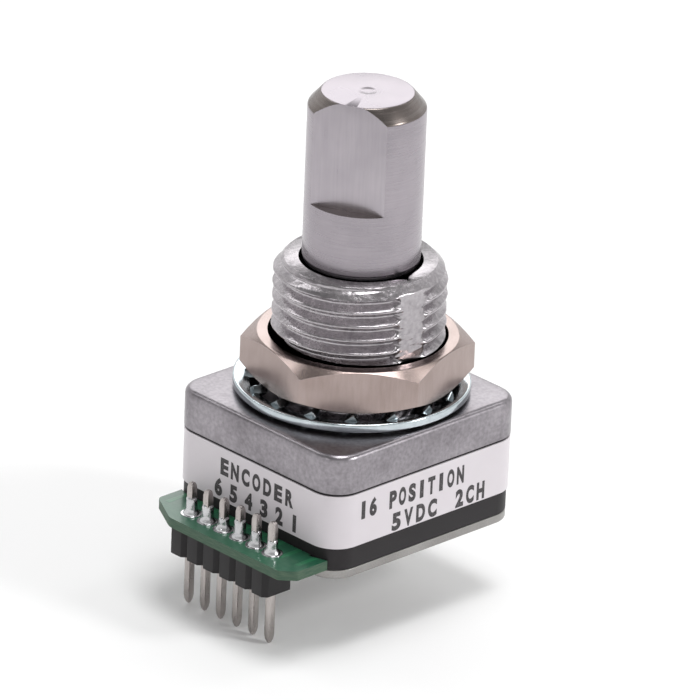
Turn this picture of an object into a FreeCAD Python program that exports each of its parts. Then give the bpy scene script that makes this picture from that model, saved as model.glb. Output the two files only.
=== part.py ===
import FreeCAD, Part
import math
import os

os.makedirs("parts", exist_ok=True)

# Optical rotary encoder with a push switch. Lengths are in millimetres.
# The origin is on the shaft's axis, on the housing's top (mounting) face.
# +Z runs up the shaft, and the circuit board comes out of the housing towards -Y.

# case outline
half_width = 6.4                 # of the die-cast housing, along X
front_face = -7.4                # its face towards the circuit board's header
rear_face = 6.4
corner_radius = 1.6
case_inset = 0.1                 # plastic case and back plate stand this far inside the casting
wall = 0.7                       # of the plastic case

# heights of the stacked case
roof_bottom = -0.8
casting_bottom = -2.2
spigot_bottom = -3.4
case_bottom = -6.65
plate_bottom = -7.15

# threaded bushing, 3/8-32 UNEF
pitch = 25.4 / 32
thread_radius = 4.675
thread_depth = 0.487
crest_flat = 0.1
root_flat = 0.12
bushing_top = 7.6
bore_radius = 3.2
mouth_radius = 3.28
rim_radius = 4.1
top_rounding = 0.35              # of the casting's top edge
spigot_wall = 0.85
thread_start = 0.55
thread_end_azimuth = 40.0

# shaft, a quarter of an inch across
shaft_radius = 3.175
shaft_top = 17.2
shaft_chamfer = 0.7
flat_distance = 2.385            # from the axis to the knob's flat
flat_bottom = 11.2
flat_azimuth = -65.0
relief_radius = 3.12
relief_bottom = 7.05
relief_top = 7.8
seat_radius = 2.4                # carries the detent rotor
seat_flat = 2.0
tail_radius = 1.5                # drives the code rotor
tail_flat = 1.1
ring_seat_radius = 1.0           # the tail's groove for the retaining ring
ring_seat_height = 0.27
spring_hole_radius = 0.65

# fits
running_gap = 0.03
still_gap = 0.02                 # between parts that don't move on each other
past = 1.0                       # how far a cutting shape runs beyond what it cuts

# detent
detents = 16
detent_step = 360.0 / detents
crest_radius = 4.85
scallop_radius = 0.85
scallop_centre = 4.25
rotor_radius = 4.6
rotor_top = -0.85
rotor_bottom = -3.1
ball_radius = 0.75
ball_centre = 4.08
ball_height = -1.97
spring_wire = 0.2
spring_radius = 0.45
spring_turns = 11
ring_radius = 2.3
ring_thickness = 0.23
ring_mouth = 1.6

# mounting hardware
nut_across_flats = 10.9
nut_bottom = 0.9
nut_top = 3.3
nut_azimuth = 47.5
nut_lead = 0.2                   # of the bore's lead-in at each end
nut_chamfer_angle = 30.0
nut_face_inset = 0.05
washer_radius = 6.4
washer_ring = 0.9
washer_thickness = 0.5
washer_middle = 0.45
washer_teeth = 16
tooth_reach = 4.97
tooth_width = 0.95
tooth_twist = 35.0
tooth_root = 0.25                # how far a tooth runs into the ring
washer_shift = (-0.16, -0.16)

# boards and header
board_top = -6.05
board_bottom = -6.6
board_outer = -10.0
board_left = -5.75
board_right = 5.7
board_left_cut = (2.2, 1.2)      # the outer left corner's chamfer, along X and Y
board_right_cut = (0.75, 0.75)
board_neck = 4.6                 # half of the slot in the case that it comes out of
board_gap = 0.1                  # between the boards and the case's inner walls
board_corner = 2.1
case_inner_corner = 2.2
pin_pitch = 1.27
pin_count = 6
pin_row = -8.75
pin_side = 0.4
pin_top = -4.2
pin_bottom = -11.3
insulator_depth = 2.1
insulator_bottom = -8.2
insulator_notch = 0.25
pin_tip = 0.16                   # side of the pin's pointed bottom end
pin_tip_height = 0.45
pin_head = 0.2                   # side of its chamfered top end
pin_head_height = 0.3
pin_hole = 0.3
pad_radius = 0.55
pad_thickness = 0.04
solder_foot = 0.48
solder_neck = 0.29
solder_height = 0.6
emitter_board_top = -3.6
emitter_board_bottom = -4.0
light_radius = 4.0
light_angles = (90 - detent_step / 2, 90 + detent_step / 2)
lamp_board_hole = 2.6
light_length = 1.0               # of an emitter or a receiver, along the wheel's radius
light_width = 1.2
emitter_height = 0.5
receiver_height = 0.8
chip_length = 1.0
chip_width = 0.5
chip_height = 0.35
chip_row = -4.5
chip_pitch = 2.4
link_row = -5.9
link_radius = 0.2
link_hole = 0.22

# rivets that hold the case together
rivet_radius = 0.35
rivet_top = -1.2
rivet_head_radius = 0.6
rivet_head_height = 0.2
rivet_inset = 1.0                # from the case's sides

# label
label_thickness = 0.08
label_gap = 0.1                  # below the casting
label_height = 3.06
label_seam = (-1.2, -0.6)        # the opening between its ends, on the rear side

# code rotor
wheel_radius = 4.9
wheel_bottom = -4.95
wheel_top = -4.75
hub_radius = 1.9
hub_bottom = -5.15
hub_top = -3.95
window_inner = 3.5
window_outer = 4.5
window_count = 4

# push switch
press_travel = 0.43
dome_radius = 6.5                # of the snap dome's curve
dome_rim = 3.0
dome_top = board_top + 0.5
dome_sheet = 0.07
contact_radius = 0.6
contact_height = 0.03
retainer_radius = 3.05
retainer_bore = 2.6
retainer_hole = 1.05
retainer_top = -5.2
retainer_roof = 0.2
plunger_radius = 1.5
plunger_foot = 0.12
stem_radius = 1.0
tail_bottom = retainer_top + press_travel + 0.05


def at(x, y, z=0.0):
    return FreeCAD.Vector(x, y, z)


def rod(radius, bottom, top, x=0.0, y=0.0):
    return Part.makeCylinder(radius, top - bottom, at(x, y, bottom))


def block(left, right, front, back, bottom, top):
    return Part.makeBox(right - left, back - front, top - bottom, at(left, front, bottom))


def slab(inset, bottom, top, corner):
    # the case's rounded outline, drawn in by an inset
    solid = block(-half_width + inset, half_width - inset, front_face + inset, rear_face - inset, bottom, top)
    upright = [edge for edge in solid.Edges if abs(edge.tangentAt(edge.FirstParameter).z) > 0.9]
    return solid.makeFillet(corner, upright)


def turned(outline):
    # a solid of revolution from (radius, height) points
    points = [at(radius, 0, height) for radius, height in outline]
    face = Part.Face(Part.makePolygon(points + points[:1]))
    return face.revolve(at(0, 0), at(0, 0, 1), 360)


def prism(outline, bottom, top):
    points = [at(x, y, bottom) for x, y in outline]
    face = Part.Face(Part.makePolygon(points + points[:1]))
    return face.extrude(at(0, 0, top - bottom))


def around(shape, angle):
    spun = shape.copy()
    spun.rotate(at(0, 0), at(0, 0, 1), angle)
    return spun


def on_circle(radius, angle):
    turn = math.radians(angle)
    return radius * math.cos(turn), radius * math.sin(turn)


def with_flat(radius, distance, bottom, top):
    # a rod whose flat looks the way the knob's flat does
    reach = radius + past
    flat = block(distance, reach, -reach, reach, bottom - past, top + past)
    return rod(radius, bottom, top).cut(around(flat, flat_azimuth))


def helical_groove():
    # the space between the bushing's threads, a trapezoid swept up a right-hand helix
    inner = thread_radius - thread_depth
    outer = thread_radius + 0.1
    slope = (pitch - crest_flat - root_flat) / 2 / thread_depth
    half_inner = root_flat / 2
    half_outer = half_inner + slope * (outer - inner)
    corners = [(inner, -half_inner), (outer, -half_outer), (outer, half_outer), (inner, half_inner)]
    points = [at(radius, 0, thread_start + rise) for radius, rise in corners]
    profile = Part.makePolygon(points + points[:1])
    helix = Part.makeHelix(pitch, bushing_top - thread_start + pitch, inner)
    helix.translate(at(0, 0, thread_start))
    groove = Part.Wire(helix.Edges).makePipeShell([profile], True, True)
    return around(groove, thread_end_azimuth)


def save(name, shape):
    solids = shape.Solids
    if not shape.isValid() or not solids:
        raise RuntimeError(name + " is not a valid solid")
    if len(solids) == 1:
        shape = solids[0]
    shape.exportStep("parts/" + name + ".step")
    print(name, len(solids), round(shape.Volume, 3))


def rivet_places():
    side = half_width - rivet_inset
    return [(x, y) for x in (-side, side) for y in (front_face + rivet_inset, rear_face - rivet_inset)]


def pin_places():
    return [(pin_pitch * (step - (pin_count - 1) / 2), pin_row) for step in range(pin_count)]


def link_places():
    return [(pin_pitch * step, link_row) for step in (-1, 0, 1)]


def make_housing():
    bushing = turned([
        (0, roof_bottom),
        (thread_radius, roof_bottom),
        (thread_radius, bushing_top - (thread_radius - rim_radius)),
        (rim_radius, bushing_top),
        (0, bushing_top),
    ])
    bore = turned([
        (0, roof_bottom - past),
        (bore_radius, roof_bottom - past),
        (bore_radius, bushing_top - (mouth_radius - bore_radius)),
        (mouth_radius, bushing_top),
        (mouth_radius, bushing_top + past),
        (0, bushing_top + past),
    ])
    top = slab(0, casting_bottom, 0, corner_radius)
    rim = [edge for edge in top.Edges if edge.BoundBox.ZMin > -0.01]
    top = top.makeFillet(top_rounding, rim)
    spigot = rod(crest_radius + spigot_wall, spigot_bottom, casting_bottom)
    cavity = rod(crest_radius, spigot_bottom - past, roof_bottom)
    for step in range(detents):
        x, y = on_circle(scallop_centre, step * detent_step)
        cavity = cavity.fuse(rod(scallop_radius, spigot_bottom - past, roof_bottom, x, y))
    case = top.fuse(spigot).cut(cavity)
    for x, y in rivet_places():
        case = case.cut(rod(rivet_radius + still_gap, casting_bottom - past, rivet_top, x, y))
    case = case.fuse(bushing).cut(bore).removeSplitter()
    save("bushing_housing", case.cut(helical_groove()))


def make_nut():
    across_corners = nut_across_flats / math.cos(math.radians(30.0))
    corners = [on_circle(across_corners / 2, nut_azimuth + 60 * step) for step in range(6)]
    face_radius = nut_across_flats / 2 - nut_face_inset
    fall = (across_corners / 2 - face_radius) * math.tan(math.radians(nut_chamfer_angle))
    envelope = turned([
        (0, nut_bottom),
        (face_radius, nut_bottom),
        (across_corners / 2, nut_bottom + fall),
        (across_corners / 2, nut_top - fall),
        (face_radius, nut_top),
        (0, nut_top),
    ])
    nut = prism(corners, nut_bottom, nut_top).common(envelope)
    # the bore clears the bushing's crests, with a lead-in at each end
    bore = thread_radius + running_gap
    nut = nut.cut(turned([
        (0, nut_bottom - past),
        (bore + nut_lead, nut_bottom - past),
        (bore + nut_lead, nut_bottom),
        (bore, nut_bottom + nut_lead),
        (bore, nut_top - nut_lead),
        (bore + nut_lead, nut_top),
        (bore + nut_lead, nut_top + past),
        (0, nut_top + past),
    ]))
    save("mounting_nut", nut)


def make_washer():
    low = washer_middle - washer_thickness / 2
    high = washer_middle + washer_thickness / 2
    inner = washer_radius - washer_ring
    washer = rod(washer_radius, low, high).cut(rod(inner, low - past, high + past))
    tooth = block(tooth_reach, inner + tooth_root, -tooth_width / 2, tooth_width / 2, low, high)
    tooth.rotate(at(0, 0, washer_middle), at(1, 0, 0), tooth_twist)
    for step in range(washer_teeth):
        washer = washer.fuse(around(tooth, step * 360.0 / washer_teeth))
    washer.translate(at(washer_shift[0], washer_shift[1]))
    save("lock_washer", washer)


def make_shaft():
    top_radius = shaft_radius - shaft_chamfer
    shaft = turned([
        (0, rotor_bottom),
        (seat_radius, rotor_bottom),
        (seat_radius, rotor_top),
        (shaft_radius, rotor_top),
        (shaft_radius, relief_bottom),
        (relief_radius, relief_bottom),
        (relief_radius, relief_top),
        (shaft_radius, relief_top),
        (shaft_radius, shaft_top - shaft_chamfer),
        (top_radius, shaft_top),
        (0, shaft_top),
    ])
    reach = shaft_radius + past
    knob_flat = block(flat_distance, shaft_radius + past, -reach, reach, flat_bottom, shaft_top + past)
    seat_cut = block(seat_flat, shaft_radius + past, -reach, reach, rotor_bottom - past, rotor_top)
    shaft = shaft.cut(around(knob_flat, flat_azimuth))
    shaft = shaft.cut(around(seat_cut, flat_azimuth))
    spring_hole = Part.makeCylinder(spring_hole_radius, 2 * reach, at(-reach, 0, ball_height), at(1, 0, 0))
    shaft = shaft.cut(spring_hole)
    tail = with_flat(tail_radius, tail_flat, tail_bottom, rotor_bottom)
    ring_groove = rod(tail_radius + past, rotor_bottom - ring_seat_height, rotor_bottom)
    ring_groove = ring_groove.cut(rod(ring_seat_radius, rotor_bottom - past, 0))
    tail = tail.cut(ring_groove)
    save("shaft", shaft.fuse(tail).removeSplitter())


def make_detent():
    rotor = rod(rotor_radius, rotor_bottom, rotor_top)
    rotor = rotor.cut(with_flat(seat_radius, seat_flat, rotor_bottom - past, rotor_top + past))
    pocket = Part.makeCylinder(ball_radius + running_gap, 2 * (rotor_radius + past),
                               at(-rotor_radius - past, 0, ball_height), at(1, 0, 0))
    rotor = rotor.cut(pocket)
    save("detent_rotor", rotor)
    for name, side in (("detent_ball_a", 1), ("detent_ball_b", -1)):
        save(name, Part.makeSphere(ball_radius, at(side * ball_centre, 0, ball_height)))
    spring_length = 2 * (ball_centre - ball_radius) - 0.3
    helix = Part.makeHelix(spring_length / spring_turns, spring_length, spring_radius)
    section = Part.Wire(Part.makeCircle(spring_wire / 2, at(spring_radius, 0, 0), at(0, 1, 0)))
    spring = Part.Wire(helix.Edges).makePipeShell([section], True, True)
    spring.rotate(at(0, 0), at(0, 1, 0), 90)
    spring.translate(at(-spring_length / 2, 0, ball_height))
    save("detent_spring", spring)
    ring_top = rotor_bottom - still_gap
    ring = rod(ring_radius, ring_top - ring_thickness, ring_top)
    ring = ring.cut(rod(ring_seat_radius + running_gap, rotor_bottom - past, 0))
    ring = ring.cut(block(0, ring_radius + past, -ring_mouth / 2, ring_mouth / 2, rotor_bottom - past, 0))
    save("retaining_ring", ring)


def make_code_rotor():
    hub = rod(hub_radius, hub_bottom, hub_top).fuse(rod(wheel_radius, wheel_bottom, wheel_top))
    bore = with_flat(tail_radius + running_gap, tail_flat + running_gap, hub_bottom - past, hub_top + past)
    hub = hub.cut(bore)
    window = rod(window_outer, wheel_bottom - past, wheel_top + past)
    window = window.cut(rod(window_inner, wheel_bottom - past, wheel_top + past))
    window_step = 360.0 / window_count
    far = wheel_radius + past
    wedge = prism([(0, 0), (far, 0), (far, far)], wheel_bottom - still_gap, wheel_top + still_gap)
    for step in range(window_count):
        hub = hub.cut(window.common(around(wedge, window_step * (step + 0.75))))
    save("code_rotor", hub)


def make_case():
    case = slab(case_inset, case_bottom, casting_bottom, corner_radius - case_inset)
    case = case.cut(rod(crest_radius + spigot_wall + still_gap, emitter_board_top, 0))
    case = case.cut(slab(case_inset + wall, case_bottom - past, emitter_board_top, case_inner_corner))
    case = case.cut(block(-board_neck, board_neck, front_face - past, 0, case_bottom - past,
                          board_top + still_gap))
    plate = slab(case_inset, plate_bottom, case_bottom, corner_radius - case_inset)
    rivets = []
    head_top = plate_bottom + rivet_head_height
    for x, y in rivet_places():
        shank_hole = rod(rivet_radius + still_gap, plate_bottom - past, 0, x, y)
        sink = rod(rivet_head_radius + still_gap, plate_bottom - past, head_top, x, y)
        case = case.cut(shank_hole)
        plate = plate.cut(shank_hole).cut(sink)
        head = rod(rivet_head_radius, plate_bottom, head_top, x, y)
        shank = rod(rivet_radius, plate_bottom, rivet_top - still_gap, x, y)
        rivets.append(shank.fuse(head).removeSplitter())
    save("code_housing", case)
    save("backplate", plate)
    save("backplate_rivets", Part.makeCompound(rivets))


def make_label():
    high = casting_bottom - label_gap
    low = high - label_height
    outside = case_inset - label_thickness
    label = slab(outside, low, high, corner_radius - outside)
    label = label.cut(slab(case_inset, low - past, high + past, corner_radius - case_inset))
    label = label.cut(block(*label_seam, 0, rear_face + past, low - past, high + past))
    save("label", label)


def make_boards():
    inset = case_inset + wall + board_gap
    neck = board_neck - 0.05
    edge = front_face - still_gap
    board = slab(inset, board_bottom, board_top, board_corner)
    board = board.fuse(block(-neck, neck, edge - board_gap, link_row, board_bottom, board_top))
    board = board.fuse(prism([
        (board_left, edge),
        (board_left, board_outer + board_left_cut[1]),
        (board_left + board_left_cut[0], board_outer),
        (board_right - board_right_cut[0], board_outer),
        (board_right, board_outer + board_right_cut[1]),
        (board_right, edge),
    ], board_bottom, board_top))
    lamp_board = slab(inset, emitter_board_bottom, emitter_board_top, board_corner)
    lamp_board = lamp_board.cut(rod(lamp_board_hole, emitter_board_bottom - past, emitter_board_top + past))
    for x, y in pin_places():
        board = board.cut(rod(pin_hole, board_bottom - past, board_top + past, x, y))
    for x, y in link_places():
        board = board.cut(rod(link_hole, board_bottom - past, board_top + past, x, y))
        hole = rod(link_hole, emitter_board_bottom - past, emitter_board_top + past, x, y)
        lamp_board = lamp_board.cut(hole)
    save("circuit_board", board.removeSplitter())
    save("emitter_board", lamp_board)
    save("link_pins", Part.makeCompound([rod(link_radius, board_bottom, emitter_board_top, x, y)
                                         for x, y in link_places()]))
    emitters = []
    receivers = []
    near = light_radius - light_length / 2
    far = light_radius + light_length / 2
    side = light_width / 2
    for angle in light_angles:
        emitter = block(near, far, -side, side, emitter_board_bottom - emitter_height, emitter_board_bottom)
        receiver = block(near, far, -side, side, board_top, board_top + receiver_height)
        emitters.append(around(emitter, angle))
        receivers.append(around(receiver, angle))
    save("ir_emitters", Part.makeCompound(emitters))
    save("phototransistors", Part.makeCompound(receivers))
    front = chip_row - chip_width / 2
    chips = []
    for x in (-chip_pitch, 0, chip_pitch):
        chips.append(block(x - chip_length / 2, x + chip_length / 2, front, front + chip_width,
                           board_top, board_top + chip_height))
    save("chip_resistors", Part.makeCompound(chips))


def make_header():
    length = pin_pitch * pin_count
    front = pin_row - insulator_depth / 2
    back = pin_row + insulator_depth / 2
    body = block(-length / 2, length / 2, front, back, insulator_bottom, board_bottom)
    for step in range(pin_count + 1):
        x = pin_pitch * (step - pin_count / 2)
        for face, inward in ((front, 1), (back, -1)):
            tip = face + inward * insulator_notch
            corner = [(x - insulator_notch, face), (x, tip), (x + insulator_notch, face)]
            body = body.cut(prism(corner, insulator_bottom - past, board_bottom + past))
    pins = []
    joints = []
    pads = []
    half = pin_side / 2
    corners = [(-1, -1), (1, -1), (1, 1), (-1, 1), (-1, -1)]
    for x, y in pin_places():
        hole = block(x - half, x + half, y - half, y + half, pin_bottom - past, pin_top + past)
        body = body.cut(hole)
        squares = []
        for side, height in ((pin_tip, pin_bottom), (pin_side, pin_bottom + pin_tip_height),
                             (pin_side, pin_top - pin_head_height), (pin_head, pin_top)):
            ring = [at(x + i * side / 2, y + j * side / 2, height) for i, j in corners]
            squares.append(Part.makePolygon(ring))
        pins.append(Part.makeLoft(squares, True, True))
        pad_top = board_top + pad_thickness
        pad = rod(pad_radius, board_top, pad_top, x, y)
        pads.append(pad.cut(rod(pin_hole, board_bottom - past, board_top + past, x, y)))
        cone = Part.makeCone(solder_foot, solder_neck, solder_height, at(x, y, pad_top))
        joints.append(cone.cut(hole))
    save("header_insulator", body)
    save("header_pins", Part.makeCompound(pins))
    save("solder_joints", Part.makeCompound(joints))
    save("solder_pads", Part.makeCompound(pads))


def make_switch():
    retainer = rod(retainer_radius, board_top, retainer_top)
    retainer = retainer.cut(rod(retainer_bore, board_top - past, retainer_top - retainer_roof))
    save("dome_retainer", retainer.cut(rod(retainer_hole, board_top, retainer_top + past)))
    middle = at(0, 0, dome_top - dome_radius)
    dome = Part.makeSphere(dome_radius, middle).common(rod(dome_rim, board_top, dome_top + past))
    save("snap_dome", dome.cut(Part.makeSphere(dome_radius - dome_sheet, middle)))
    save("dome_contact", rod(contact_radius, board_top, board_top + contact_height))
    foot_bottom = dome_top + 0.01
    foot = rod(plunger_radius, foot_bottom, foot_bottom + plunger_foot)
    stem = rod(stem_radius, foot_bottom, tail_bottom - still_gap)
    save("pushbutton_plunger", foot.fuse(stem).removeSplitter())


make_housing()
make_nut()
make_washer()
make_shaft()
make_detent()
make_code_rotor()
make_case()
make_label()
make_boards()
make_header()
make_switch()
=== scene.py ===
import math
import bmesh
import bpy
from mathutils import Matrix, Vector, noise


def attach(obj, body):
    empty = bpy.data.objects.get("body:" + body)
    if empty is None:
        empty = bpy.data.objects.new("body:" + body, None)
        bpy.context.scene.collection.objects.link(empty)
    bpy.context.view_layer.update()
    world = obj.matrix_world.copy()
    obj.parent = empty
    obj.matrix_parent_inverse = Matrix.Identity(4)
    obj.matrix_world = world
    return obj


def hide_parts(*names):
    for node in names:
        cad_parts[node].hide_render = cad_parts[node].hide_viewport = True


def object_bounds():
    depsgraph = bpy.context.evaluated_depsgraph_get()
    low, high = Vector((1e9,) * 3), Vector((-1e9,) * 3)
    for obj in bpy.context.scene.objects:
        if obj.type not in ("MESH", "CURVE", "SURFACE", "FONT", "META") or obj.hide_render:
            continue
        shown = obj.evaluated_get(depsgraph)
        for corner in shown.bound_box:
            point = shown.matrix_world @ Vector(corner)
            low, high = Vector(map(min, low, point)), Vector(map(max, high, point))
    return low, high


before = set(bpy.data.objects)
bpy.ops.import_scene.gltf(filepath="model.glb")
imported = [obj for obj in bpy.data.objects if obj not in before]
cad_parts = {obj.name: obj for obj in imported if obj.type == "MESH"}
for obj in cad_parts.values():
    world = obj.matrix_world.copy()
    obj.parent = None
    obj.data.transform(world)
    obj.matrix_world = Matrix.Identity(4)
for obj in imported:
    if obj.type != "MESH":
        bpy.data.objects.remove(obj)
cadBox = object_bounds()
print("frame loaded:", len(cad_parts), "nodes")

mm = 0.001
fullTurn = math.tau
upward = Vector((0, 0, 1))


class Wire:
    # a node's output, for Python's own arithmetic
    def __init__(self, finish, socket):
        self.finish = finish
        self.socket = socket

    def maths(self, operation, *values):
        return self.finish.add("ShaderNodeMath", {"operation": operation}, dict(enumerate(values)))

    def __add__(self, other):
        return self.maths("ADD", self, other)

    def __radd__(self, other):
        return self.maths("ADD", other, self)

    def __sub__(self, other):
        return self.maths("SUBTRACT", self, other)

    def __rsub__(self, other):
        return self.maths("SUBTRACT", other, self)

    def __mul__(self, other):
        return self.maths("MULTIPLY", self, other)

    def __rmul__(self, other):
        return self.maths("MULTIPLY", other, self)

    def __truediv__(self, other):
        return self.maths("DIVIDE", self, other)

    def __gt__(self, other):
        return self.maths("GREATER_THAN", self, other)

    def __lt__(self, other):
        return self.maths("LESS_THAN", self, other)

    def within(self, low, high):
        # 0 below low, 1 above high, with a straight ramp between
        return self.finish.add("ShaderNodeMapRange", {"clamp": True}, {0: self, 1: low, 2: high}, 0)


class Finish:
    # one material, with its nodes made by add()
    def __init__(self, name, fixed):
        self.material = bpy.data.materials.new(name)
        self.material.use_nodes = True
        self.nodes = self.material.node_tree.nodes
        self.links = self.material.node_tree.links
        self.shader = self.nodes["Principled BSDF"]
        self.plug(self.shader, fixed)

    def plug(self, node, values):
        for key, value in values.items():
            if isinstance(value, Wire):
                self.links.new(value.socket, node.inputs[key])
            else:
                node.inputs[key].default_value = value

    def add(self, kind, settings, values, output=0):
        node = self.nodes.new(kind)
        for key, value in settings.items():
            if key == "stops":
                self.setStops(node.color_ramp, value)
            else:
                setattr(node, key, value)
        self.plug(node, values)
        return Wire(self, node.outputs[output])

    def setStops(self, ramp, stops):
        while len(ramp.elements) < len(stops):
            ramp.elements.new(1.0)
        for element, (position, colour) in zip(ramp.elements, stops):
            element.position = position
            element.color = colour

    def where(self, stretch=(1, 1, 1), turn=(0, 0, 0)):
        coords = self.add("ShaderNodeTexCoord", {}, {}, "Object")
        return self.add("ShaderNodeMapping", {}, {"Vector": coords, "Rotation": turn, "Scale": stretch})

    def axis(self, letter, vector):
        return self.add("ShaderNodeSeparateXYZ", {}, {0: vector}, "XYZ".index(letter))

    def cloud(self, size, detail=3.0, stretch=(1, 1, 1), turn=(0, 0, 0)):
        place = self.where(stretch, turn)
        return self.add("ShaderNodeTexNoise", {}, {"Vector": place, "Scale": 1 / size, "Detail": detail}, 0)

    def pits(self, size):
        return self.add("ShaderNodeTexVoronoi", {}, {"Vector": self.where(), "Scale": 1 / size}, 0)

    def blend(self, amount, first, second):
        return self.add("ShaderNodeMix", {"data_type": "RGBA"}, {0: amount, 6: first, 7: second}, 2)

    def bump(self, height, depth, onto=None):
        values = {"Height": height, "Distance": depth, "Strength": 1.0}
        if onto:
            values["Normal"] = onto
        return self.add("ShaderNodeBump", {}, values)

    def wear(self, values):
        self.plug(self.shader, values)
        return self


def colour(red, green, blue):
    return (red, green, blue, 1.0)


def metalFinish(name, dark, light, roughness, grain, stretch, depth, metallic=1.0, coat=0.0):
    # a metal whose tone and roughness drift over a fine grain
    look = Finish(name, {"Metallic": metallic, "Coat Weight": coat, "Coat Roughness": 0.1})
    drift = look.cloud(2.2 * mm, 2.0)
    fine = look.cloud(grain, 4.0, stretch)
    tone = (drift * 0.6 + fine * 0.4).within(0.3, 0.7)
    return look.wear({
        "Base Color": look.blend(tone, dark, light),
        "Roughness": roughness - 0.05 + fine * 0.1 + drift * 0.06,
        "Normal": look.bump(fine, depth),
    })


def makeFinishes():
    looks = {}
    ring = (0.03, 0.03, 1)
    looks["shaft"] = metalFinish("groundShaftSteel", colour(0.31, 0.285, 0.31), colour(0.40, 0.365, 0.395),
                                 0.25, 0.09 * mm, ring, 0.0006 * mm)
    looks["flat"] = metalFinish("milledShaftFlat", colour(0.37, 0.34, 0.37), colour(0.46, 0.425, 0.455),
                                0.27, 0.12 * mm, (1, 1, 0.05), 0.0008 * mm)
    # painted shade: a darker copy of the shaft's own steel for its top chamfer and the flat's step, standing in for
    # the dark reflections on these up-facing faces
    looks["cutSteelPaintedShade"] = metalFinish("paintedShadeCutSteel", colour(0.13, 0.11, 0.10), colour(0.27, 0.24, 0.23),
                                    0.24, 0.14 * mm, ring, 0.0012 * mm)
    looks["nut"] = metalFinish("nickelPlatedBrass", colour(0.31, 0.245, 0.225), colour(0.43, 0.35, 0.33),
                               0.2, 0.16 * mm, (1, 1, 0.15), 0.0006 * mm)
    looks["washer"] = metalFinish("brightZincPlate", colour(0.40, 0.45, 0.48), colour(0.62, 0.68, 0.71),
                                  0.14, 0.3 * mm, (1, 1, 1), 0.001 * mm)
    # painted shade: the teeth are the washer's own zinc plate, darkened as if shaded under the nut
    looks["teeth"] = metalFinish("toothPaintedShadeZinc", colour(0.15, 0.17, 0.18), colour(0.30, 0.33, 0.35),
                                 0.2, 0.3 * mm, (1, 1, 1), 0.001 * mm)
    looks["plate"] = metalFinish("rolledStainless", colour(0.25, 0.24, 0.23), colour(0.38, 0.37, 0.36),
                                 0.28, 0.08 * mm, (0.04, 1, 1), 0.0008 * mm)
    looks["pins"] = metalFinish("tinnedPins", colour(0.36, 0.33, 0.32), colour(0.54, 0.50, 0.48),
                                0.25, 0.2 * mm, (1, 1, 0.2), 0.0015 * mm)
    looks["solder"] = metalFinish("solderJoints", colour(0.40, 0.40, 0.41), colour(0.66, 0.66, 0.67),
                                  0.15, 0.18 * mm, (1, 1, 1), 0.009 * mm)
    looks["spring"] = metalFinish("springSteel", colour(0.45, 0.45, 0.46), colour(0.62, 0.62, 0.62),
                                  0.18, 0.1 * mm, (1, 1, 1), 0.0006 * mm)
    looks["gold"] = metalFinish("goldFlash", colour(0.75, 0.52, 0.2), colour(0.9, 0.68, 0.3),
                                0.2, 0.1 * mm, (1, 1, 1), 0.0006 * mm)
    looks["zinc"] = makeCastZinc("castZinc", colour(0.21, 0.195, 0.21), colour(0.38, 0.355, 0.38),
                                 0.27, 0.0016 * mm)
    # painted highlight: the thread is the same cast zinc as the top, made lighter to stand in for the glints on its
    # crests
    looks["thread"] = makeCastZinc("castZincThreadPaintedHighlight", colour(0.33, 0.31, 0.325), colour(0.56, 0.53, 0.55),
                                   0.22, 0.014 * mm)
    looks["nylon"] = makePlastic("blackNylon", colour(0.010, 0.008, 0.009), colour(0.018, 0.015, 0.017), 0.5)
    looks["header"] = makePlastic("headerNylon", colour(0.006, 0.005, 0.006), colour(0.014, 0.012, 0.013), 0.42)
    looks["whiteNylon"] = makePlastic("naturalNylon", colour(0.66, 0.64, 0.58), colour(0.75, 0.73, 0.68), 0.4)
    looks["epoxy"] = makePlastic("darkEpoxy", colour(0.02, 0.02, 0.024), colour(0.045, 0.045, 0.05), 0.3)
    looks["lens"] = makePlastic("clearEpoxy", colour(0.55, 0.55, 0.5), colour(0.7, 0.7, 0.62), 0.12)
    looks["label"] = makeLabelFilm()
    looks["ink"] = makeInk()
    looks["mask"] = makeSolderMask()
    looks["boardEdge"] = makeBoardEdge()
    print("finishes made:", len(looks))
    return looks


def makeCastZinc(name, dark, light, roughness, depth):
    look = Finish(name, {"Metallic": 1.0})
    drift = look.cloud(3.0 * mm, 3.0)
    skin = look.cloud(0.22 * mm, 5.0)
    pores = look.pits(0.35 * mm)
    tone = (drift * 0.5 + skin * 0.5).within(0.34, 0.68)
    base = look.blend(tone, dark, light)
    stain = look.cloud(1.1 * mm, 4.0).within(0.55, 0.8)
    height = skin * 0.7 + pores.within(0.0, 0.35) * 0.3
    return look.wear({
        "Base Color": look.blend(stain * 0.5, base, colour(0.17, 0.155, 0.165)),
        "Roughness": roughness + drift * 0.1 + skin * 0.08 - 0.05,
        "Normal": look.bump(height, depth),
    })


def makePlastic(name, dark, light, roughness):
    look = Finish(name, {"Specular IOR Level": 0.32})
    grain = look.cloud(0.07 * mm, 3.0)
    drift = look.cloud(1.6 * mm, 3.0)
    return look.wear({
        "Base Color": look.blend(drift, dark, light),
        "Roughness": roughness + grain * 0.14 + drift * 0.08 - 0.1,
        "Normal": look.bump(grain, 0.0025 * mm),
    })


def makeLabelFilm():
    look = Finish("labelFilm", {"Coat Weight": 0.15, "Coat Roughness": 0.2})
    drift = look.cloud(2.5 * mm, 3.0)
    fibre = look.cloud(0.12 * mm, 4.0)
    base = look.blend(drift, colour(0.61, 0.57, 0.60), colour(0.67, 0.63, 0.66))
    return look.wear({
        "Base Color": look.blend(fibre * 0.15, base, colour(0.66, 0.62, 0.65)),
        "Roughness": 0.3 + fibre * 0.12,
        "Normal": look.bump(drift * 0.8 + fibre * 0.2, 0.004 * mm),
    })


def makeInk():
    look = Finish("printedInk", {})
    grain = look.cloud(0.06 * mm, 3.0)
    return look.wear({
        "Base Color": look.blend(grain.within(0.45, 0.75), colour(0.022, 0.018, 0.02), colour(0.13, 0.12, 0.125)),
        "Roughness": 0.45 + grain * 0.2,
    })


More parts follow.
